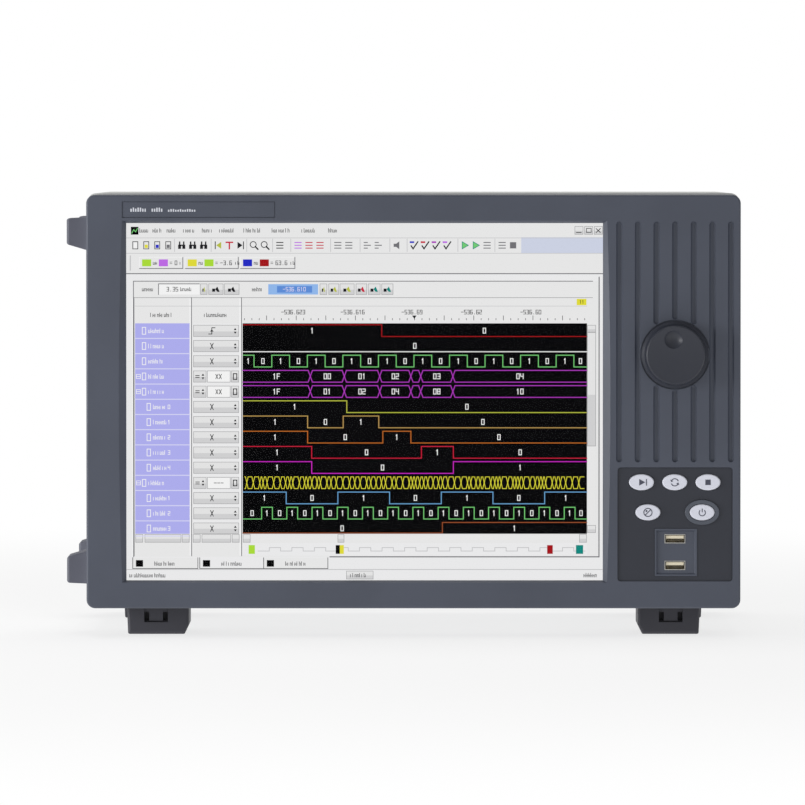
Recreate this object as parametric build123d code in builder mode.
"""Portable logic analyzer: a bench instrument with a touch display, knob, keypad and carry handle.

Frame: +Z up, front towards -Y, origin on the bench under the middle of the instrument. Millimetres.
"""

import os

from build123d import *

# Overall envelope
FRONT_Y = -151.0  # front face of the bezel
REAR_Y = 151.0  # outer face of the rear panel
BEZEL_W = 417.2
BEZEL_BOTTOM = 18.5
BEZEL_TOP = 282.2
BEZEL_DEPTH = 36.0
BEZEL_CORNER = 5.5
BEZEL_EDGE_R = 1.4
BEZEL_INNER_R = 3.0
BEZEL_WALL = 2.5
FRONT_WALL = 5.0
CABINET_HALF_W = 209.2
CABINET_BOTTOM = 19.5
CABINET_TOP = 283.2
CABINET_CORNER = 6.0
SHEET = 1.5

BOSS_R = 4.0
SCREW_R = 1.5
SCREW_HEAD_R = 3.0
SCREW_HEAD_T = 1.3
SCREW_L = 10.0

BEZEL_BACK = FRONT_Y + BEZEL_DEPTH
DECK_Y = BEZEL_BACK - 3.0  # front of the sheet deck behind the bezel
BEZEL_H = BEZEL_TOP - BEZEL_BOTTOM
BEZEL_MID = (BEZEL_TOP + BEZEL_BOTTOM) / 2
CABINET_H = CABINET_TOP - CABINET_BOTTOM
CABINET_MID = (CABINET_TOP + CABINET_BOTTOM) / 2
CABINET_DEPTH = REAR_Y - BEZEL_BACK
INNER_HALF_W = CABINET_HALF_W - SHEET
FLOOR_Z = CABINET_BOTTOM + SHEET
TOUCH = 0.1  # gap left between neighbouring sheet parts

# Display: a 15 inch 4:3 panel
SCREEN_X = -31.2
SCREEN_Z = 150.2
SCREEN_W = 304.1
SCREEN_H = 228.1
RECESS = 3.0
MOUTH_TOP = 1.5  # how far the opening flares above the lit area at the front face
MOUTH_BOTTOM = 1.2
MOUTH_CORNER = 2.6
MOUTH_BOW = 4.7  # flare halfway up the sides, which bow outwards
GLASS_T = 2.0
GLASS_LIP = 4.0
GLASS_Y = FRONT_Y + RECESS
GASKET_T = 0.5
LCD_W = 326.5
LCD_H = 253.0
LCD_T = 11.5
LCD_Y = GLASS_Y + GASKET_T + GLASS_T  # front of the display module
AIR_GAP = 1.8  # between the glass and the cell
DECK_PAD_XS = (-150.0, 80.0)  # spacer pads between the display module and the deck
DECK_PAD_RISE = 90.0
CABLE_SLOTS = ((-60.0, 0.0, 105.0, 135.0), (120.0, 160.0, 120.0, 140.0))  # x0, x1, z0, z1
CELL_T = 1.6
CELL_EDGE = 1.0

NAME_X = -137.0
NAME_Z = 272.8
NAME_W = 97.6
NAME_H = 10.4
NAME_DEPTH = 0.9

# Control area
CONTROL_X = 166.8
GROOVE_PITCH = 11.87
GROOVE_COUNT = 7
GROOVE_R = 2.0
GROOVE_DEPTH = 1.9
GROOVE_TOP = 265.3
GROOVE_END = 111.7
KNOB_Z = 180.4
KNOB_SKIRT_R = 21.3
KNOB_FACE_R = 18.7
KNOB_H = 15.0
KNOB_WELL_R = 22.3
KNOB_WELL_DEPTH = 1.5
KNOB_SHAFT_R = 3.0
PANEL_W = 73.3
PANEL_H = 72.7
PANEL_Z = 72.1
PANEL_CORNER = 2.0
PANEL_T = 2.0
POCKET_DEPTH = 2.9
BUTTON_RX = 7.95
BUTTON_RZ = 5.15
BUTTON_GAP = 0.35
BUTTON_TRAVEL = 1.0
BUTTON_PROUD = 1.6
BUTTON_EDGE_R = 0.9
FLANGE_OUT = 2.2  # retaining flange of a key, behind the bezel
FLANGE_T = 1.5
STEM_R = 2.5
BUTTONS = {
    "run_single_button": (145.4, 99.0),
    "run_repeat_button": (166.6, 99.0),
    "stop_button": (187.8, 99.0),
    "touch_off_button": (149.5, 79.8),
    "power_button": (184.1, 79.8),
}
COLLAR_RX = 11.0
COLLAR_RZ = 8.1
COLLAR_PROUD = 1.3
BOARD_Y = FRONT_Y + 18.0  # front face of the control board
SWITCH_T = 4.0
STEM_END = BOARD_Y - SWITCH_T - BUTTON_TRAVEL - 0.2
USB_PAD_X = 167.4
USB_PAD_Z = 54.2
USB_PAD_W = 27.0
USB_PAD_H = 30.2
PAD_DROP = 0.5
DISH_DEPTH = 1.2
USB_X = 166.8
USB_ZS = (62.9, 45.9)
USB_W = 13.4
USB_H = 6.0
USB_SHELL_W = 13.2
USB_SHELL_H = 5.8
USB_SHELL_T = 0.4

# Feet
FRONT_FOOT_X = 164.2
REAR_FOOT_X = 172.5
FOOT_W = 40.0
FOOT_L = 52.0
FRONT_FOOT_Y = -113.0
REAR_FOOT_Y = 88.0
WINDOW_HALF_W = 7.6
WINDOW_LOW = 7.7
SLOT_W = 3.2
SLOT_TOP = 14.2
BAY_TOP = 7.6
LEG_PIVOT_Y = FRONT_FOOT_Y + 8.5
LEG_PIVOT_Z = 4.6
LEG_W = 25.0
LEG_L = 38.0
LEG_T = 4.6
SIDE_FOOT_OUT = 13.5
SIDE_FOOT_ZS = (257.0, 42.8)
SIDE_FOOT_YS = (-108.0, 96.0)
SIDE_FOOT_L = 40.0

# Carry handle on the right side
HANDLE_Y = 18.0
HANDLE_Z = 150.0
POCKET_L = 150.0
POCKET_H = 64.0
POCKET_IN = 26.0
HANDLE_PIVOT_X = 199.5
HANDLE_PIVOT_Z = 171.0
HANDLE_PIN_R = 3.0
HANDLE_ARM = 42.0
HANDLE_SPAN = 128.0
HANDLE_T = 13.0
HANDLE_PLAY = 0.4

# Disc drive
DISC_Y = -41.0
DISC_Z = 232.0
DISC_W = 128.0
DISC_T = 12.7
DISC_L = 126.0
DISC_FACE_X = CABINET_HALF_W  # the tray's face is flush with the cover
DISC_INNER_X = DISC_FACE_X - DISC_L - 5.0
DISC_SHELL = 1.0
TRAY_FACE_T = 5.7
TRAY_PLAY = 0.3
DISC_R = 60.2
SPINDLE_R = 12.0
EJECT_W = 10.0
EJECT_H = 4.0
EJECT_T = 2.0
EJECT_FROM_END = 19.0
EJECT_GAP = 0.3
HARD_DRIVE_FLOOR = 190.0

MIDDLE_X = SIDE_FOOT_OUT / 2  # the cabinet's middle line: side feet stick out on one side only

# Circuit boards and modules
ACQ_Z = 36.0
SYS_Z = 90.0
BOARD_T = 1.6
FAN_XS = (-120.0, -24.0)
FAN_Z = 222.0
FAN_SIZE = 80.0
FAN_T = 25.0
POD_XS = (-148.0, -90.0, -32.0, 26.0)
POD_ZS = (48.0, 68.0)
BNC_XS = (84.0, 112.0, 140.0)
BNC_Z = 222.0
BNC_R = 4.8
INLET_X = 152.0
INLET_Z = 66.0
LAN_X, SERIAL_X, VIDEO_X = -120.0, -70.0, -28.0
USB_REAR_XS = (-178.0, -156.0)
PORT_Z = 100.0
VENT_Z = 150.0
VENT_SLOT_H = 34.0
VENT_ROWS = (-42.0, 0.0, 42.0)
VENT_SLOT_W = 3.0
VENT_PITCH = 6.6
LEFT_VENT_Y = 15.0
LEFT_VENT_COUNT = 22
RIGHT_VENT_Y = 122.0
RIGHT_VENT_COUNT = 5


def front(y):
    """Sketch plane facing the user: local x is x, local y is height; a negative extrude goes inwards."""
    return Plane(origin=(MIDDLE_X, y, 0), x_dir=(1, 0, 0), z_dir=(0, -1, 0))


def side(x):
    """Sketch plane facing +X: local x is Y, local y is height."""
    return Plane(origin=(MIDDLE_X + x, 0, 0), x_dir=(0, 1, 0), z_dir=(1, 0, 0))


def save(piece, name):
    """Labels a finished piece and writes its STEP file."""
    piece.part.label = name
    export_step(piece.part, f"parts/{name}.step")


def block(x0, x1, y0, y1, z0, z1, mode=Mode.ADD):
    """A box between two corners, inside the current part."""
    with Locations((MIDDLE_X + (x0 + x1) / 2, (y0 + y1) / 2, (z0 + z1) / 2)):
        Box(x1 - x0, y1 - y0, z1 - z0, mode=mode)


def rod_y(x, z, radius, y0, y1, mode=Mode.ADD):
    """A cylinder along Y, inside the current part."""
    with Locations(Location((MIDDLE_X + x, (y0 + y1) / 2, z), (90, 0, 0))):
        Cylinder(radius, abs(y1 - y0), mode=mode)


def rod_x(y, z, radius, x0, x1, mode=Mode.ADD):
    """A cylinder along X, inside the current part."""
    with Locations(Location((MIDDLE_X + (x0 + x1) / 2, y, z), (0, 90, 0))):
        Cylinder(radius, abs(x1 - x0), mode=mode)


def rod_z(x, y, radius, z0, z1, mode=Mode.ADD):
    """A cylinder along Z, inside the current part."""
    with Locations((MIDDLE_X + x, y, (z0 + z1) / 2)):
        Cylinder(radius, abs(z1 - z0), mode=mode)


def oval_prism(x, z, rx, rz, y0, y1, mode=Mode.ADD):
    """An elliptical prism from y0 to y1, inside the current part."""
    with BuildSketch(front(y0)) as oval:
        with Locations((x, z)):
            Ellipse(rx, rz)
    extrude(oval.sketch, amount=-(y1 - y0), mode=mode)


def plate(x0, x1, z0, z1, corner, y0, y1, mode=Mode.ADD):
    """A round-cornered plate facing the user, inside the current part."""
    with BuildSketch(front(y0)) as outline:
        with Locations(((x0 + x1) / 2, (z0 + z1) / 2)):
            RectangleRounded(x1 - x0, z1 - z0, corner)
    extrude(outline.sketch, amount=-(y1 - y0), mode=mode)


# ---------------------------------------------------------------- front panel


def groove_spans():
    """Each groove's x and its straight spans; the ones that meet the knob well are interrupted."""
    clear = KNOB_WELL_R + GROOVE_R
    for i in range(GROOVE_COUNT):
        x = CONTROL_X + (i - (GROOVE_COUNT - 1) / 2) * GROOVE_PITCH
        offset = abs(x - CONTROL_X)
        if offset < KNOB_WELL_R:
            reach = (clear**2 - offset**2) ** 0.5
            yield x, KNOB_Z + reach, GROOVE_TOP - GROOVE_R
            yield x, GROOVE_END + GROOVE_R, KNOB_Z - reach
        else:
            yield x, GROOVE_END + GROOVE_R, GROOVE_TOP - GROOVE_R


def front_bezel():
    """Moulded front frame: display opening with bowed sides, grooves, knob well and keypad pocket."""
    with BuildPart() as bezel:
        with BuildSketch(front(FRONT_Y)):
            with Locations((0, BEZEL_MID)):
                RectangleRounded(BEZEL_W, BEZEL_H, BEZEL_CORNER)
        extrude(amount=-BEZEL_DEPTH)
        fillet(bezel.faces().sort_by(Axis.Y)[0].edges(), BEZEL_EDGE_R)
        with BuildSketch(front(FRONT_Y + FRONT_WALL)):
            with Locations((0, BEZEL_MID)):
                RectangleRounded(BEZEL_W - 2 * BEZEL_WALL, BEZEL_H - 2 * BEZEL_WALL, BEZEL_INNER_R)
        extrude(amount=-BEZEL_DEPTH, mode=Mode.SUBTRACT)
        display_opening()
        for x, low, high in groove_spans():
            ball_groove(x, low, high)
        rod_y(CONTROL_X, KNOB_Z, KNOB_WELL_R, FRONT_Y, FRONT_Y + KNOB_WELL_DEPTH, Mode.SUBTRACT)
        rod_y(CONTROL_X, KNOB_Z, KNOB_SHAFT_R + 1.2, FRONT_Y, FRONT_Y + FRONT_WALL, Mode.SUBTRACT)
        keypad_pocket()
        name_pocket()
        for x, z in bezel_bosses():
            rod_y(x, z, BOSS_R, FRONT_Y + FRONT_WALL, DECK_Y)
            rod_y(x, z, SCREW_R, DECK_Y - SCREW_L - 2.0, DECK_Y, Mode.SUBTRACT)
    save(bezel, "front_bezel")


def display_opening():
    """Sloped opening: straight top and bottom, sides that bow outwards, and a rebate for the glass."""
    half_w, half_h = SCREEN_W / 2, SCREEN_H / 2
    top, bottom = half_h + MOUTH_TOP, -half_h - MOUTH_BOTTOM
    corner, bow = half_w + MOUTH_CORNER, half_w + MOUTH_BOW
    centre = (MIDDLE_X + SCREEN_X, FRONT_Y, SCREEN_Z)
    with BuildSketch(Plane(origin=centre, x_dir=(1, 0, 0), z_dir=(0, -1, 0))) as mouth:
        with BuildLine():
            Line((-corner, top), (corner, top))
            ThreePointArc((corner, top), (bow, 0), (corner, bottom))
            Line((corner, bottom), (-corner, bottom))
            ThreePointArc((-corner, bottom), (-bow, 0), (-corner, top))
        make_face()
    with BuildSketch(front(FRONT_Y + RECESS)) as floor:
        with Locations((SCREEN_X, SCREEN_Z)):
            Rectangle(SCREEN_W, SCREEN_H)
    loft([mouth.sketch, floor.sketch], ruled=True, mode=Mode.SUBTRACT)
    extrude(floor.sketch, amount=-FRONT_WALL, mode=Mode.SUBTRACT)
    rebate = 2 * GLASS_LIP + 0.6
    centred_block(SCREEN_W + rebate, SCREEN_H + rebate, GLASS_Y, FRONT_Y + FRONT_WALL, Mode.SUBTRACT)


def ball_groove(x, low, high):
    """A round-bottomed groove with ball ends, cut into the front face."""
    y = FRONT_Y + GROOVE_DEPTH - GROOVE_R
    rod_z(x, y, GROOVE_R, low, high, Mode.SUBTRACT)
    with Locations((MIDDLE_X + x, y, low), (MIDDLE_X + x, y, high)):
        Sphere(GROOVE_R, mode=Mode.SUBTRACT)


def keypad_pocket():
    """Pocket for the keypad panel, with a pad left standing for the two USB sockets."""
    with BuildSketch(front(FRONT_Y)) as pocket:
        with Locations((CONTROL_X, PANEL_Z)):
            RectangleRounded(PANEL_W, PANEL_H, PANEL_CORNER)
        with Locations((USB_PAD_X, USB_PAD_Z)):
            Rectangle(USB_PAD_W, USB_PAD_H, mode=Mode.SUBTRACT)
    extrude(pocket.sketch, amount=-POCKET_DEPTH, mode=Mode.SUBTRACT)
    with BuildSketch(front(FRONT_Y)) as pad:
        with Locations((USB_PAD_X, USB_PAD_Z)):
            Rectangle(USB_PAD_W, USB_PAD_H)
    extrude(pad.sketch, amount=-PAD_DROP, mode=Mode.SUBTRACT)
    with BuildSketch(front(FRONT_Y + PAD_DROP)) as dish:
        with Locations((USB_PAD_X, USB_PAD_Z)):
            Rectangle(USB_PAD_W - 2.0, USB_PAD_H - 2.0)
    extrude(dish.sketch, amount=-DISH_DEPTH, taper=35, mode=Mode.SUBTRACT)
    for z in USB_ZS:
        block(USB_X - USB_W / 2, USB_X + USB_W / 2, FRONT_Y, FRONT_Y + 6, z - USB_H / 2,
              z + USB_H / 2, Mode.SUBTRACT)
    for x, z in BUTTONS.values():
        oval_prism(x, z, BUTTON_RX + 1.2, BUTTON_RZ + 1.2, FRONT_Y + POCKET_DEPTH,
                   FRONT_Y + FRONT_WALL, Mode.SUBTRACT)


def name_pocket():
    """Shallow recess for the name plate, above the display's left end."""
    block(NAME_X - NAME_W / 2, NAME_X + NAME_W / 2, FRONT_Y, FRONT_Y + NAME_DEPTH,
          NAME_Z - NAME_H / 2, NAME_Z + NAME_H / 2, Mode.SUBTRACT)


def bezel_bosses():
    """Screw boss places behind the bezel's face."""
    return [(-201.0, 40.0), (-201.0, 260.0), (141.0, 272.0), (201.0, 272.0), (201.0, 28.0), (141.0, 28.0)]


def name_plate():
    """Blank plastic plate glued into the recess."""
    with BuildPart() as plate:
        block(NAME_X - NAME_W / 2 + 0.4, NAME_X + NAME_W / 2 - 0.4, FRONT_Y + 0.4, FRONT_Y + 0.9,
              NAME_Z - NAME_H / 2 + 0.4, NAME_Z + NAME_H / 2 - 0.4)
    save(plate, "name_plate")


def keypad_panel():
    """Dark inset panel with a hole for each button and for the USB pad."""
    y = FRONT_Y + POCKET_DEPTH - PANEL_T
    with BuildPart() as panel:
        with BuildSketch(front(y)):
            with Locations((CONTROL_X, PANEL_Z)):
                RectangleRounded(PANEL_W - 0.4, PANEL_H - 0.4, PANEL_CORNER - 0.2)
            with Locations((USB_PAD_X, USB_PAD_Z)):
                Rectangle(USB_PAD_W + 0.3, USB_PAD_H + 0.3, mode=Mode.SUBTRACT)
            for name, (x, z) in BUTTONS.items():
                extra = COLLAR_RX - BUTTON_RX if name == "power_button" else BUTTON_GAP
                with Locations((x, z)):
                    Ellipse(BUTTON_RX + extra, BUTTON_RZ + extra, mode=Mode.SUBTRACT)
        extrude(amount=-PANEL_T)
    save(panel, "keypad_panel")


def power_collar():
    """Oval collar that guards the power button."""
    x, z = BUTTONS["power_button"]
    y = FRONT_Y + POCKET_DEPTH
    face = y - PANEL_T - COLLAR_PROUD
    with BuildPart() as collar:
        oval_prism(x, z, COLLAR_RX - 0.05, COLLAR_RZ - 0.05, face, y)
        oval_prism(x, z, BUTTON_RX + BUTTON_GAP, BUTTON_RZ + BUTTON_GAP, face, y, Mode.SUBTRACT)
        fillet(collar.faces().sort_by(Axis.Y)[0].edges(), 0.5)
    save(collar, "power_collar")


def push_button(name, x, z):
    """Oval key cap with a crowned face, a retaining flange behind the bezel and a stem."""
    face = FRONT_Y + POCKET_DEPTH - PANEL_T - BUTTON_PROUD
    flange = FRONT_Y + FRONT_WALL + BUTTON_GAP
    with BuildPart() as button:
        oval_prism(x, z, BUTTON_RX, BUTTON_RZ, face, flange)
        fillet(button.faces().sort_by(Axis.Y)[0].edges(), BUTTON_EDGE_R)
        oval_prism(x, z, BUTTON_RX + FLANGE_OUT, BUTTON_RZ + FLANGE_OUT, flange, flange + FLANGE_T)
        rod_y(x, z, STEM_R, flange + FLANGE_T, STEM_END)
    save(button, name)


def control_board():
    """Circuit board behind the knob, keys and USB sockets, with a switch for each key."""
    with BuildPart() as board:
        block(CONTROL_X - 33, CONTROL_X + 36, BOARD_Y, BOARD_Y + BOARD_T, 37.0, 198.0)
        for z in (42.0, 150.0, 193.0):
            rod_y(CONTROL_X + 31, z, 1.6, BOARD_Y, BOARD_Y + BOARD_T, Mode.SUBTRACT)
    save(board, "control_board")
    with BuildPart() as switches:
        for x, z in BUTTONS.values():
            block(x - 3, x + 3, BOARD_Y - SWITCH_T, BOARD_Y, z - 3, z + 3)
    save(switches, "key_switches")


def selector_knob():
    """Turned knob: skirt, slightly tapered grip, dished face and a finger dimple."""
    base = FRONT_Y + 0.7
    top = FRONT_Y - KNOB_H + 1.0
    centre = (MIDDLE_X + CONTROL_X, 0, KNOB_Z)
    with BuildPart() as knob:
        with BuildSketch(Plane(origin=centre)):
            with BuildLine():
                Polyline((0, base), (KNOB_SKIRT_R, base), (KNOB_SKIRT_R, base - 1.6))
                Polyline((KNOB_SKIRT_R, base - 1.6), (KNOB_FACE_R + 0.9, base - 3.6),
                         (KNOB_FACE_R, top + 0.8))
                Line((KNOB_FACE_R, top + 0.8), (KNOB_FACE_R - 0.8, top))
                ThreePointArc((KNOB_FACE_R - 0.8, top), (KNOB_FACE_R / 2, top + 0.55), (0, top + 0.8))
                Line((0, top + 0.8), (0, base))
            make_face()
        revolve(axis=Axis(centre, (0, 1, 0)))
        with Locations((MIDDLE_X + CONTROL_X - 1.4, top - 4.4, KNOB_Z + 9.6)):
            Sphere(7.6, mode=Mode.SUBTRACT)
        rod_y(CONTROL_X, KNOB_Z, 10.0, base - 7.0, base, Mode.SUBTRACT)
        rod_y(CONTROL_X, KNOB_Z, 5.5, base - 7.0, base)
        rod_y(CONTROL_X, KNOB_Z, KNOB_SHAFT_R, base - 10.0, base, Mode.SUBTRACT)
    save(knob, "selector_knob")
    with BuildPart() as shaft:
        rod_y(CONTROL_X, KNOB_Z, KNOB_SHAFT_R, base - 10.0, FRONT_Y + 14.0)
    save(shaft, "knob_shaft")


def knob_encoder():
    """Rotary encoder behind the bezel, with the bushing that carries the shaft."""
    with BuildPart() as encoder:
        block(CONTROL_X - 8, CONTROL_X + 8, FRONT_Y + 8.0, BOARD_Y, KNOB_Z - 8, KNOB_Z + 8)
        rod_y(CONTROL_X, KNOB_Z, 4.0, FRONT_Y + 1.0, FRONT_Y + 8.0)
        rod_y(CONTROL_X, KNOB_Z, KNOB_SHAFT_R + 0.06, FRONT_Y + 1.0, FRONT_Y + 14.05, Mode.SUBTRACT)
    save(encoder, "knob_encoder")


def front_usb():
    """Two USB sockets on the control board: metal shells and plastic tongues."""
    y0, y1 = FRONT_Y + 1.4, BOARD_Y
    half_w, half_h = USB_SHELL_W / 2, USB_SHELL_H / 2
    inner_w, inner_h = half_w - USB_SHELL_T, half_h - USB_SHELL_T
    plug_end = y1 - 3.0
    with BuildPart() as shells:
        for z in USB_ZS:
            block(USB_X - half_w, USB_X + half_w, y0, y1, z - half_h, z + half_h)
            block(USB_X - inner_w, USB_X + inner_w, y0, y1 - 1, z - inner_h, z + inner_h, Mode.SUBTRACT)
    save(shells, "front_usb_shells")
    tongue_half_w = inner_w - 0.6
    with BuildPart() as tongues:
        for z in USB_ZS:
            block(USB_X - tongue_half_w, USB_X + tongue_half_w, y0 + 1.0, plug_end, z + 0.1, z + 2.0)
            block(USB_X - inner_w + TOUCH, USB_X + inner_w - TOUCH, plug_end, y1 - 1, z - inner_h + TOUCH,
                  z + inner_h - TOUCH)
    save(tongues, "front_usb_tongues")


def display_stack():
    """Touch glass and the gasket between it and the bezel."""
    glass_w, glass_h = SCREEN_W + 2 * GLASS_LIP, SCREEN_H + 2 * GLASS_LIP
    gasket_back = 0.8
    with BuildPart() as gasket:
        with BuildSketch(front(GLASS_Y)):
            with Locations((SCREEN_X, SCREEN_Z)):
                Rectangle(glass_w, glass_h)
                Rectangle(SCREEN_W + gasket_back, SCREEN_H + gasket_back, mode=Mode.SUBTRACT)
        extrude(amount=-GASKET_T)
    save(gasket, "display_gasket")
    with BuildPart() as glass:
        centred_block(glass_w, glass_h, GLASS_Y + GASKET_T, LCD_Y)
    save(glass, "touch_glass")


def centred_block(width, height, y0, y1, mode=Mode.ADD):
    """A box on the display's middle, inside the current part."""
    block(SCREEN_X - width / 2, SCREEN_X + width / 2, y0, y1, SCREEN_Z - height / 2, SCREEN_Z + height / 2,
          mode)


def lcd_module():
    """LCD cell in a pressed metal frame, with mounting ears at the sides."""
    y = LCD_Y
    cell_y = y + AIR_GAP
    cell_w, cell_h = SCREEN_W + 2 * CELL_EDGE, SCREEN_H + 2 * CELL_EDGE
    with BuildPart() as cell:
        centred_block(cell_w, cell_h, cell_y, cell_y + CELL_T)
    save(cell, "lcd_cell")
    with BuildPart() as frame:
        centred_block(LCD_W, LCD_H, y, y + LCD_T)
        centred_block(SCREEN_W, SCREEN_H, y, cell_y, Mode.SUBTRACT)
        centred_block(cell_w, cell_h, cell_y, cell_y + CELL_T, Mode.SUBTRACT)
    save(frame, "lcd_frame")
    back = y + LCD_T
    board_y = back + 1.0
    with BuildPart() as inverter:
        block(-175, -60, board_y, board_y + BOARD_T, 100, 124)
        for x in (-165, -130, -95):
            block(x, x + 18, board_y + BOARD_T, back + 9, 104, 120)
        for x in (-173, -64):
            block(x, x + 2, back, board_y, 102, 122)
    save(inverter, "backlight_inverter")


def front_deck():
    """Folded sheet plate that closes the bezel's back and carries the display."""
    y0, y1 = DECK_Y, DECK_Y + SHEET
    margin = BEZEL_WALL + 0.3
    half_w = BEZEL_W / 2 - margin
    with BuildPart() as deck:
        plate(-half_w, half_w, BEZEL_BOTTOM + margin, BEZEL_TOP - margin, 3.0, y0, y1)
        for x0, x1, z0, z1 in CABLE_SLOTS:
            block(x0, x1, y0, y1, z0, z1, Mode.SUBTRACT)
        for x, z in bezel_bosses():
            rod_y(x, z, SCREW_R, y0, y1, Mode.SUBTRACT)
        for z in (SCREEN_Z - DECK_PAD_RISE, SCREEN_Z + DECK_PAD_RISE):
            for x in DECK_PAD_XS:
                block(x - 12, x + 12, LCD_Y + LCD_T, y0, z - 8, z + 8)
    save(deck, "front_deck")
    with BuildPart() as screws:
        for x, z in bezel_bosses():
            rod_y(x, z, SCREW_R, y0 - SCREW_L, y1)
            rod_y(x, z, SCREW_HEAD_R, y1, y1 + SCREW_HEAD_T)
    save(screws, "bezel_screws")


# ---------------------------------------------------------------- cabinet


def vent_slots(x0, x1, centre_y, count):
    """Rows of upright slots punched through one side of the cover."""
    for row in VENT_ROWS:
        for i in range(count):
            y = centre_y + (i - (count - 1) / 2) * VENT_PITCH
            block(x0, x1, y - VENT_SLOT_W / 2, y + VENT_SLOT_W / 2, VENT_Z + row - VENT_SLOT_H / 2,
                  VENT_Z + row + VENT_SLOT_H / 2, Mode.SUBTRACT)


def cover():
    """Painted sleeve: top and both sides in one folded sheet, open below and at both ends."""
    with BuildPart() as sleeve:
        with BuildSketch(front(BEZEL_BACK)):
            with Locations((0, CABINET_MID)):
                RectangleRounded(2 * CABINET_HALF_W, CABINET_H, CABINET_CORNER)
                RectangleRounded(2 * INNER_HALF_W, CABINET_H - 2 * SHEET, CABINET_CORNER - SHEET,
                                 mode=Mode.SUBTRACT)
            with Locations((0, CABINET_BOTTOM)):
                Rectangle(2 * CABINET_HALF_W, 2 * CABINET_CORNER, mode=Mode.SUBTRACT)
        extrude(amount=-CABINET_DEPTH)
        vent_slots(-CABINET_HALF_W - 1, -INNER_HALF_W + 1, LEFT_VENT_Y, LEFT_VENT_COUNT)
        vent_slots(INNER_HALF_W - 1, CABINET_HALF_W + 1, RIGHT_VENT_Y, RIGHT_VENT_COUNT)
        block(INNER_HALF_W - 1, CABINET_HALF_W + 1, HANDLE_Y - POCKET_L / 2, HANDLE_Y + POCKET_L / 2,
              HANDLE_Z - POCKET_H / 2, HANDLE_Z + POCKET_H / 2, Mode.SUBTRACT)
        block(INNER_HALF_W - 1, CABINET_HALF_W + 1, DISC_Y - DISC_W / 2 - 0.5, DISC_Y + DISC_W / 2 + 0.5,
              DISC_Z - DISC_T / 2 - 0.5, DISC_Z + DISC_T / 2 + 0.5, Mode.SUBTRACT)
    save(sleeve, "cabinet_cover")


def base_tray():
    """Folded base: floor with low flanges at both sides and a lip at the front."""
    y0, y1 = BEZEL_BACK, REAR_Y - SHEET
    half = INNER_HALF_W - TOUCH
    lip = CABINET_BOTTOM + CABINET_CORNER
    with BuildPart() as tray:
        block(-half, half, y0, y1, CABINET_BOTTOM, FLOOR_Z)
        for x0, x1 in ((-half, -half + SHEET), (half - SHEET, half)):
            block(x0, x1, y0, y1, FLOOR_Z, FLOOR_Z + 20)
        for x0, x1 in ((-CABINET_HALF_W, -half), (half, CABINET_HALF_W)):
            block(x0, x1, y0, y1, CABINET_BOTTOM + 1.5, lip)
        block(-half + SHEET, half - SHEET, y0, y0 + SHEET, FLOOR_Z, FLOOR_Z + 12)
    save(tray, "base_tray")


def rear_panel():
    """Rear sheet with openings for the fans, connectors and mains inlet."""
    half = INNER_HALF_W - TOUCH
    with BuildPart() as panel:
        with BuildSketch(front(REAR_Y - SHEET)):
            with Locations((0, CABINET_MID)):
                RectangleRounded(2 * half, CABINET_H - 2 * SHEET - 0.2, CABINET_CORNER - SHEET)
            with Locations(*[(x, FAN_Z) for x in FAN_XS]):
                Circle(38.0, mode=Mode.SUBTRACT)
            for x in POD_XS:
                for z in POD_ZS:
                    with Locations((x, z)):
                        Rectangle(46.4, 9.4, mode=Mode.SUBTRACT)
            with Locations(*[(x, BNC_Z) for x in BNC_XS]):
                Circle(BNC_R + TOUCH, mode=Mode.SUBTRACT)
            with Locations((INLET_X, INLET_Z)):
                Rectangle(28.2, 20.2, mode=Mode.SUBTRACT)
            with Locations((LAN_X, SYS_Z + BOARD_T + 7.0)):
                Rectangle(16.4, 14.4, mode=Mode.SUBTRACT)
            with Locations(*[(x, SYS_Z + BOARD_T + 7.5) for x in USB_REAR_XS]):
                Rectangle(13.6, 15.6, mode=Mode.SUBTRACT)
            with Locations((SERIAL_X, PORT_Z), (VIDEO_X, PORT_Z)):
                Rectangle(18.4, 10.0, mode=Mode.SUBTRACT)
        extrude(amount=-SHEET)
    save(panel, "rear_panel")


def rear_bumpers():
    """Four corner bumpers that the instrument stands on when it is set on its back."""
    with BuildPart() as bumpers:
        for sx in (-1, 1):
            for sz in (-1, 1):
                with BuildSketch(front(REAR_Y)):
                    with Locations((sx * (CABINET_HALF_W - 17.2), CABINET_MID + sz * (CABINET_H / 2 - 17))):
                        RectangleRounded(32, 32, 6)
                extrude(amount=-14, taper=6)
        fillet(bumpers.faces().filter_by(Axis.Y).group_by(Axis.Y)[-1].edges(), 2)
    save(bumpers, "rear_bumpers")


def side_feet():
    """Four feet on the left side, for setting the instrument down by its handle."""
    with BuildPart() as feet:
        for y in SIDE_FOOT_YS:
            for z, up in zip(SIDE_FOOT_ZS, (1, -1)):
                with BuildSketch(front(y)):
                    with BuildLine():
                        Polyline(
                            (-CABINET_HALF_W, z + up * 10.6),
                            (-CABINET_HALF_W - SIDE_FOOT_OUT, z + up * 10.0),
                            (-CABINET_HALF_W - SIDE_FOOT_OUT, z - up * 6.6),
                            (-CABINET_HALF_W, z - up * 10.6),
                            close=True,
                        )
                    make_face()
                extrude(amount=-SIDE_FOOT_L)
        fillet(feet.faces().filter_by(Axis.X).group_by(Axis.X)[0].edges(), 1.8)
    save(feet, "side_feet")


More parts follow.
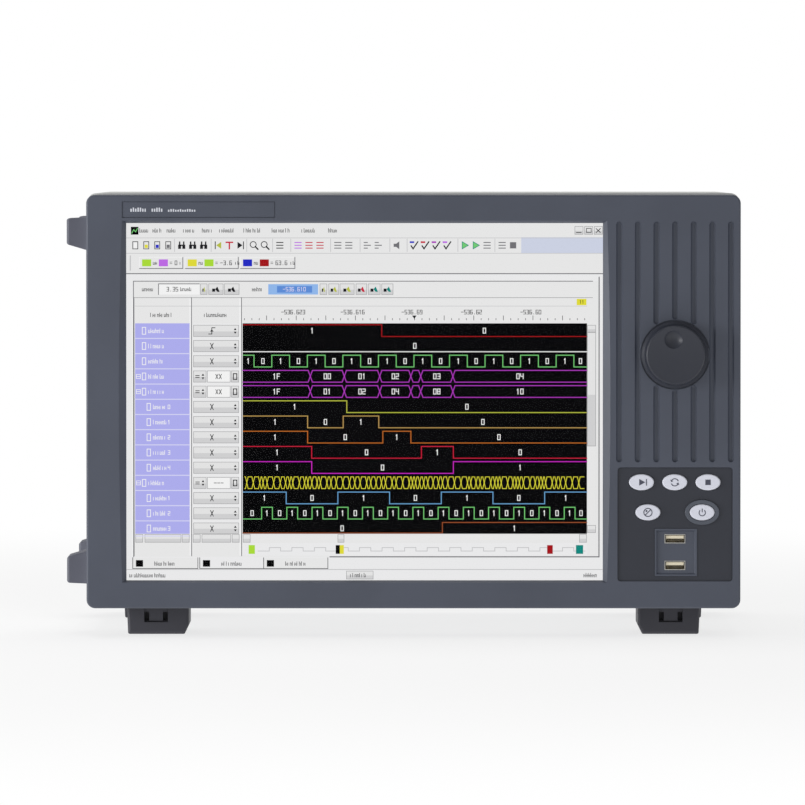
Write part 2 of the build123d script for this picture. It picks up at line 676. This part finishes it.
def foot_outline(outer_x, inward, y):
    """Front outline of a bottom foot: near-straight outer side, chamfered inner side."""
    with BuildSketch(front(y)) as outline:
        with BuildLine():
            Polyline(
                (outer_x, CABINET_BOTTOM),
                (outer_x + inward * 0.9, 0),
                (outer_x + inward * (FOOT_W - 2.8), 0),
                (outer_x + inward * FOOT_W, 5.8),
                (outer_x + inward * FOOT_W, CABINET_BOTTOM),
                close=True,
            )
        make_face()
    extrude(outline.sketch, amount=-FOOT_L)


def front_foot(name, sign):
    """Front foot with its release tongue in the face and a bay below for the tilt leg."""
    outer, inward = sign * (FRONT_FOOT_X + FOOT_W / 2), -sign
    window = outer + inward * 18.9
    middle = outer + inward * 19.8
    y0 = FRONT_FOOT_Y
    with BuildPart() as foot:
        foot_outline(outer, inward, y0)
        fillet(foot.edges().filter_by(Axis.Y), 1.2)
        face = foot.faces().sort_by(Axis.Y)[0]
        fillet(face.edges().filter_by(GeomType.LINE).sort_by(Axis.X)[0], 2.0)
        block(window - WINDOW_HALF_W, window + WINDOW_HALF_W, y0, y0 + 1.2, WINDOW_LOW, CABINET_BOTTOM,
              Mode.SUBTRACT)
        for s in (-1, 1):
            slot_x = window + s * (WINDOW_HALF_W - SLOT_W / 2)
            block(slot_x - SLOT_W / 2, slot_x + SLOT_W / 2, y0, y0 + 9.0, WINDOW_LOW + 0.9, SLOT_TOP,
                  Mode.SUBTRACT)
        block(window - WINDOW_HALF_W, window + WINDOW_HALF_W, y0, y0 + 4, WINDOW_LOW, WINDOW_LOW + 0.9,
              Mode.SUBTRACT)
        bay_half = LEG_W / 2 + 0.5
        block(middle - bay_half, middle + bay_half, y0 + 4.3, y0 + FOOT_L - 3, 0, BAY_TOP, Mode.SUBTRACT)
        reach = LEG_W / 2 + 2.7
        rod_x(LEG_PIVOT_Y, LEG_PIVOT_Z, 1.87, middle - reach, middle + reach, Mode.SUBTRACT)
    save(foot, name)


def tilt_leg(name, sign):
    """Flip-out leg: flat blade with a rounded hinge end and two stub pins."""
    middle = sign * (FRONT_FOOT_X + FOOT_W / 2) - sign * 19.8
    low = LEG_PIVOT_Z - LEG_T / 2
    with BuildPart() as leg:
        block(middle - LEG_W / 2, middle + LEG_W / 2, LEG_PIVOT_Y, LEG_PIVOT_Y + LEG_L, low, low + LEG_T)
        fillet(leg.edges().filter_by(Axis.X).group_by(Axis.Y)[-1], 2.0)
        rod_x(LEG_PIVOT_Y, LEG_PIVOT_Z, LEG_T / 2, middle - LEG_W / 2, middle + LEG_W / 2)
        rod_x(LEG_PIVOT_Y, LEG_PIVOT_Z, 1.8, middle - LEG_W / 2 - 2.5, middle + LEG_W / 2 + 2.5)
        block(middle - 8, middle + 8, LEG_PIVOT_Y + LEG_L - 14, LEG_PIVOT_Y + LEG_L - 6, low, low + 1.2,
              Mode.SUBTRACT)
    save(leg, name)


def rear_feet():
    """Two plain feet under the back of the base."""
    with BuildPart() as feet:
        for sign in (-1, 1):
            foot_outline(sign * (REAR_FOOT_X + FOOT_W / 2), -sign, REAR_FOOT_Y)
        fillet(feet.edges().filter_by(Axis.Y), 1.2)
    save(feet, "rear_feet")


# ---------------------------------------------------------------- carry handle


def handle_pocket():
    """Moulded tub let into the right side, with bosses that hold the handle's pivot pins."""
    floor_x = CABINET_HALF_W - POCKET_IN
    y0, y1 = HANDLE_Y - POCKET_L / 2, HANDLE_Y + POCKET_L / 2
    z0, z1 = HANDLE_Z - POCKET_H / 2, HANDLE_Z + POCKET_H / 2
    wall = 2.0
    with BuildPart() as pocket:
        block(floor_x, CABINET_HALF_W, y0, y1, z0, z1)
        with BuildSketch(side(CABINET_HALF_W)):
            with Locations((HANDLE_Y, HANDLE_Z)):
                RectangleRounded(POCKET_L - 2 * wall, POCKET_H - 2 * wall, 6)
        extrude(amount=-(POCKET_IN - wall), mode=Mode.SUBTRACT)
        boss = POCKET_L / 2 - wall - HANDLE_SPAN / 2 - HANDLE_PLAY
        for y in (y0 + wall, y1 - wall - boss):
            block(floor_x + wall, CABINET_HALF_W - 1.5, y, y + boss, HANDLE_PIVOT_Z - 7, z1 - wall)
        rod_y(HANDLE_PIVOT_X, HANDLE_PIVOT_Z, HANDLE_PIN_R, y0 + wall, y1 - wall, Mode.SUBTRACT)
    save(pocket, "handle_pocket")


def carry_handle():
    """Swing-out bail: grip bar joined by two arms to the pivot pins."""
    half = HANDLE_SPAN / 2
    x0, x1 = HANDLE_PIVOT_X - HANDLE_T / 2, HANDLE_PIVOT_X + HANDLE_T / 2
    low = HANDLE_PIVOT_Z - HANDLE_ARM
    with BuildPart() as handle:
        with BuildSketch(side(x0)):
            with BuildLine():
                Polyline((HANDLE_Y - half, HANDLE_PIVOT_Z), (HANDLE_Y - half, low), (HANDLE_Y + half, low),
                         (HANDLE_Y + half, HANDLE_PIVOT_Z), (HANDLE_Y - half, HANDLE_PIVOT_Z))
            make_face()
            with Locations((HANDLE_Y - half + 7, HANDLE_PIVOT_Z), (HANDLE_Y + half - 7, HANDLE_PIVOT_Z)):
                Circle(7)
            with Locations((HANDLE_Y, HANDLE_PIVOT_Z + 1)):
                Rectangle(HANDLE_SPAN - 28, 2 * (HANDLE_ARM - 15) + 2, mode=Mode.SUBTRACT)
        extrude(amount=HANDLE_T)
        fillet(handle.faces().filter_by(Axis.X).edges(), 2.5)
        rod_y(HANDLE_PIVOT_X, HANDLE_PIVOT_Z, HANDLE_PIN_R + 0.08, HANDLE_Y - half - 1, HANDLE_Y + half + 1,
              Mode.SUBTRACT)
    save(handle, "carry_handle")
    with BuildPart() as pins:
        for s in (-1, 1):
            inner = HANDLE_Y + s * (half - 13)
            outer = HANDLE_Y + s * (POCKET_L / 2 - 2.0)
            rod_y(HANDLE_PIVOT_X, HANDLE_PIVOT_Z, HANDLE_PIN_R, min(inner, outer), max(inner, outer))
    save(pins, "handle_pins")


# ---------------------------------------------------------------- drives, fans, boards and ports


def disc_drive():
    """Slim disc drive in the right side: housing, sliding tray and eject button."""
    x0, x1 = DISC_INNER_X, DISC_FACE_X
    y0, y1 = DISC_Y - DISC_W / 2, DISC_Y + DISC_W / 2
    z0, z1 = DISC_Z - DISC_T / 2, DISC_Z + DISC_T / 2
    mouth = x1 - TRAY_FACE_T - TRAY_PLAY
    with BuildPart() as housing:
        block(x0, mouth, y0, y1, z0, z1)
        block(x0 + DISC_SHELL, mouth, y0 + DISC_SHELL, y1 - DISC_SHELL, z0 + DISC_SHELL, z1 - DISC_SHELL,
              Mode.SUBTRACT)
    save(housing, "disc_drive")
    plate_low, plate_high = z0 + 2.5, z1 - 3.5
    well_floor = plate_high - 2.0
    eject_y = y1 - EJECT_FROM_END
    with BuildPart() as tray:
        block(x1 - TRAY_FACE_T, x1, y0 + TRAY_PLAY, y1 - TRAY_PLAY, z0 + TRAY_PLAY, z1 - TRAY_PLAY)
        fillet(tray.faces().sort_by(Axis.X)[-1].edges(), 0.8)
        block(x0 + 3 * DISC_SHELL, x1 - TRAY_FACE_T, y0 + 2 * DISC_SHELL, y1 - 2 * DISC_SHELL, plate_low,
              plate_high)
        rod_z((x0 + x1) / 2, DISC_Y, DISC_R, well_floor, z1, Mode.SUBTRACT)
        rod_z((x0 + x1) / 2, DISC_Y, SPINDLE_R, well_floor, plate_high + 0.5)
        eject_block(eject_y, EJECT_T + 1.0, EJECT_GAP, Mode.SUBTRACT)
    save(tray, "disc_tray")
    with BuildPart() as eject:
        eject_block(eject_y, EJECT_T, 0.0)
    save(eject, "disc_eject_button")


def eject_block(y, depth, gap, mode=Mode.ADD):
    """The eject button's outline in the tray's face, grown by a gap all round."""
    half_w, half_h = EJECT_W / 2 + gap, EJECT_H / 2 + gap
    block(DISC_FACE_X - depth, DISC_FACE_X, y - half_w, y + half_w, DISC_Z - half_h, DISC_Z + half_h, mode)


def drive_rack():
    """Folded bracket that carries the disc drive and the hard drive, and the hard drive itself."""
    x0 = DISC_INNER_X - 6.0
    y0, y1 = DISC_Y - DISC_W / 2 + 1.0, DISC_Y + DISC_W / 2 + 1.0
    disc_floor = DISC_Z - DISC_T / 2
    foot_w = 14.0
    with BuildPart() as rack:
        block(x0 - SHEET, x0, y0, y1, FLOOR_Z, disc_floor)
        block(x0 - SHEET, 200.0, y0, y1, disc_floor - SHEET, disc_floor)
        block(x0, 180.0, y0, y1, HARD_DRIVE_FLOOR - SHEET, HARD_DRIVE_FLOOR)
        block(x0 - SHEET - foot_w, x0 - SHEET, y0, y1, FLOOR_Z, FLOOR_Z + SHEET)
    save(rack, "drive_rack")
    drive_w, drive_h, label_step = 101.6, 26.0, 0.8
    top = HARD_DRIVE_FLOOR + drive_h
    with BuildPart() as drive:
        block(x0 + 1, x0 + 1 + drive_w, y0 + 1, y1 - 1, HARD_DRIVE_FLOOR, top)
        fillet(drive.edges().filter_by(Axis.Z), 2)
        block(x0 + 8, x0 + drive_w - 6, y0 + 8, y1 - 8, top - label_step, top, Mode.SUBTRACT)
        rod_z(x0 + drive_w / 2, DISC_Y, 32, top - label_step, top)
    save(drive, "hard_drive")


def fans():
    """Two exhaust fans on the rear panel: frames, rotors and wire guards."""
    y1 = REAR_Y - SHEET
    y0 = y1 - FAN_T
    with BuildPart() as frames:
        for x in FAN_XS:
            block(x - FAN_SIZE / 2, x + FAN_SIZE / 2, y0, y1, FAN_Z - FAN_SIZE / 2, FAN_Z + FAN_SIZE / 2)
            rod_y(x, FAN_Z, 38.0, y0, y1, Mode.SUBTRACT)
            rod_y(x, FAN_Z, 17.0, y0, y0 + 3)
            for horizontal in (True, False):
                w, h = (39.0, 2.5) if horizontal else (2.5, 39.0)
                block(x - w, x + w, y0, y0 + 3, FAN_Z - h, FAN_Z + h)
            rod_y(x, FAN_Z, 2.1, y0, y1, Mode.SUBTRACT)
    save(frames, "fan_frames")
    for name, x in zip(("left_fan_rotor", "right_fan_rotor"), FAN_XS):
        with BuildPart() as rotor:
            rod_y(x, FAN_Z, 16.5, y0 + 4, y1 - 2)
            for low, high in zip(blade_faces(x, y0 + 5, 0), blade_faces(x, y0 + 20, 14)):
                loft([low, high])
            rod_y(x, FAN_Z, 2.0, y0 + 0.5, y0 + 4)
        save(rotor, name)


def blade_faces(x, y, turn):
    """Root-to-tip faces of the seven blades at one depth, turned by an angle about the fan's axis."""
    plane = Plane(origin=(MIDDLE_X + x, y, FAN_Z), x_dir=(1, 0, 0), z_dir=(0, -1, 0))
    with BuildSketch(plane, mode=Mode.PRIVATE) as ring:
        with PolarLocations(25.5, 7, start_angle=turn):
            Rectangle(21, 4)
    return ring.sketch.faces()


def fan_guards():
    """Ring guards over the fan openings."""
    with BuildPart() as guards:
        for x in FAN_XS:
            for radius in (12.0, 18.5, 25.0, 31.5, 38.0):
                with BuildSketch(front(REAR_Y)):
                    with Locations((x, FAN_Z)):
                        Circle(radius + 0.9)
                        Circle(radius - 0.9, mode=Mode.SUBTRACT)
                extrude(amount=-1.8)
            for angle in (45, 135):
                with Locations(Location((MIDDLE_X + x, REAR_Y + 2.7, FAN_Z), (0, angle, 0))):
                    Box(90, 1.8, 2.4)
    save(guards, "fan_guards")


def power_supply():
    """Closed power supply box and the mains inlet in front of its rear face."""
    with BuildPart() as box:
        block(102.0, 202.0, 10.0, 130.0, 24.0, 112.0)
        fillet(box.edges().filter_by(Axis.Y), 1.0)
        for i in range(9):
            block(112.0 + 9 * i, 116.0 + 9 * i, 10.0, 12.0, 40.0, 96.0, Mode.SUBTRACT)
    save(box, "power_supply")
    y1 = REAR_Y
    with BuildPart() as inlet:
        block(INLET_X - 14, INLET_X + 14, y1 - 18, y1, INLET_Z - 10, INLET_Z + 10)
        block(INLET_X - 24, INLET_X + 24, y1, y1 + 2.5, INLET_Z - 13, INLET_Z + 13)
        fillet(inlet.faces().sort_by(Axis.Y)[-1].edges().filter_by(Axis.Z), 1.0)
        with BuildSketch(front(y1 + 2.5)):
            with Locations((INLET_X, INLET_Z)):
                RectangleRounded(24.6, 16.6, 2)
        extrude(amount=17, mode=Mode.SUBTRACT)
        for dx, dz in ((-7, -2.2), (0, 2.2), (7, -2.2)):
            block(INLET_X + dx - 1, INLET_X + dx + 1, y1 - 14.5, y1 - 1, INLET_Z + dz - 2, INLET_Z + dz + 2)
    save(inlet, "mains_inlet")


def acquisition():
    """Acquisition board with its heatsinks and two rows of probe connectors at the back."""
    y1 = REAR_Y - SHEET - 0.5
    with BuildPart() as board:
        block(-200, 70, -60, y1, ACQ_Z, ACQ_Z + BOARD_T)
    save(board, "acquisition_board")
    with BuildPart() as sinks:
        for x in POD_XS:
            for y in (0.0, 60.0):
                block(x - 15, x + 15, y - 15, y + 15, ACQ_Z + BOARD_T, ACQ_Z + 6)
                for i in range(6):
                    block(x - 15 + i * 5.6, x - 13 + i * 5.6, y - 15, y + 15, ACQ_Z + 6, ACQ_Z + 20)
    save(sinks, "acquisition_heatsinks")
    with BuildPart() as shells:
        for x in POD_XS:
            block(x - 20, x + 20, REAR_Y - 14, REAR_Y - 6, ACQ_Z + BOARD_T, POD_ZS[1])
            for z in POD_ZS:
                block(x - 23, x + 23, REAR_Y - 14, REAR_Y + 5, z - 4.5, z + 4.5)
                block(x - 27, x + 27, REAR_Y - SHEET - 1.4, REAR_Y - SHEET, z - 6.5, z + 6.5)
                block(x - 22, x + 22, REAR_Y - 3, REAR_Y + 5, z - 3.4, z + 3.4, Mode.SUBTRACT)
    save(shells, "pod_connector_shells")
    with BuildPart() as inserts:
        for x in POD_XS:
            for z in POD_ZS:
                block(x - 20, x + 20, REAR_Y - 3, REAR_Y + 4, z - 1.2, z + 1.2)
    save(inserts, "pod_connector_tongues")
    with BuildPart() as screws:
        for x in POD_XS:
            for z in POD_ZS:
                for s in (-1, 1):
                    rod_y(x + s * 25.6, z, 1.9, REAR_Y, REAR_Y + 4.5)
    save(screws, "pod_jackscrews")


def system_board():
    """Computer board with cooler, memory and the standoffs below it."""
    y1 = REAR_Y - SHEET - 3
    top = SYS_Z + BOARD_T
    with BuildPart() as board:
        block(-200, 60, -90, y1, SYS_Z, top)
    save(board, "system_board")
    with BuildPart() as cooler:
        block(-90, -20, -30, 40, top, top + 8)
        for i in range(12):
            block(-90 + 6.2 * i, -88.2 + 6.2 * i, -30, 40, top + 8, top + 38)
    save(cooler, "processor_cooler")
    with BuildPart() as posts:
        for x in (-192, -60, 52):
            for y in (-50, 118):
                rod_z(x, y, 3, FLOOR_Z, ACQ_Z)
                rod_z(x, y, 3, ACQ_Z + BOARD_T, SYS_Z)
    save(posts, "board_standoffs")


def rear_ports():
    """Computer connectors along the system board's rear edge."""
    y1 = REAR_Y
    low = SYS_Z + BOARD_T
    with BuildPart() as lan:
        block(LAN_X - 8, LAN_X + 8, y1 - 16, y1 + 0.6, low, low + 14)
        block(LAN_X - 6, LAN_X + 6, y1 - 12, y1 + 0.6, low + 3, low + 11, Mode.SUBTRACT)
        block(LAN_X - 3, LAN_X + 3, y1 - 12, y1 + 0.6, low + 1.5, low + 3, Mode.SUBTRACT)
    save(lan, "lan_port")
    with BuildPart() as usb:
        for x in USB_REAR_XS:
            block(x - 6.6, x + 6.6, y1 - 14, y1 + 0.8, low, low + 15)
            for z in (low + 1, low + 8.4):
                block(x - 6.0, x + 6.0, y1 - 9, y1 + 0.8, z, z + 5, Mode.SUBTRACT)
                block(x - 5.4, x + 5.4, y1 - 9, y1 - 0.4, z + 2.8, z + 4.6)
    save(usb, "rear_usb_ports")
    with BuildPart() as video:
        for x in (SERIAL_X, VIDEO_X):
            block(x - 9, x + 9, y1 - 12, y1, PORT_Z - 4.6, PORT_Z + 4.6)
            plate(x - 9, x + 9, PORT_Z - 4.6, PORT_Z + 4.6, 2.5, y1, y1 + 5.5)
    save(video, "data_ports")
    with BuildPart() as bncs:
        for x in BNC_XS:
            rod_y(x, BNC_Z, 7.5, y1 - SHEET - 4, y1 - SHEET)
            rod_y(x, BNC_Z, 7.0, y1, y1 + 2)
            rod_y(x, BNC_Z, BNC_R, y1 - SHEET - 4, y1 + 13)
            rod_y(x, BNC_Z, 3.5, y1 + 2, y1 + 13, Mode.SUBTRACT)
            rod_y(x, BNC_Z, 1.1, y1 + 2, y1 + 11)
            rod_x(y1 + 9, BNC_Z, 1.0, x - 5.8, x - 4.4)
            rod_x(y1 + 9, BNC_Z, 1.0, x + 4.4, x + 5.8)
    save(bncs, "trigger_connectors")


def rear_screws():
    """Pan-head screws around the rear panel and along the cover's lower edges."""
    with BuildPart() as screws:
        for x in (-60.0, 60.0, 180.0, -180.0):
            for z in (29.0, 274.0):
                if abs(x) < 100:
                    rod_y(x, z, 3.2, REAR_Y, REAR_Y + 1.8)
        for x in (76.0, 190.0):
            rod_y(x, 118.0, 3.2, REAR_Y, REAR_Y + 1.8)
    save(screws, "rear_screws")


def main():
    os.makedirs("parts", exist_ok=True)
    front_bezel()
    name_plate()
    keypad_panel()
    power_collar()
    for name, (x, z) in BUTTONS.items():
        push_button(name, x, z)
    control_board()
    selector_knob()
    knob_encoder()
    front_usb()
    display_stack()
    lcd_module()
    front_deck()
    cover()
    base_tray()
    rear_panel()
    rear_bumpers()
    side_feet()
    for tag, sign in (("left", -1), ("right", 1)):
        front_foot(f"{tag}_front_foot", sign)
        tilt_leg(f"{tag}_tilt_leg", sign)
    rear_feet()
    handle_pocket()
    carry_handle()
    disc_drive()
    drive_rack()
    fans()
    fan_guards()
    power_supply()
    acquisition()
    system_board()
    rear_ports()
    rear_screws()


main()
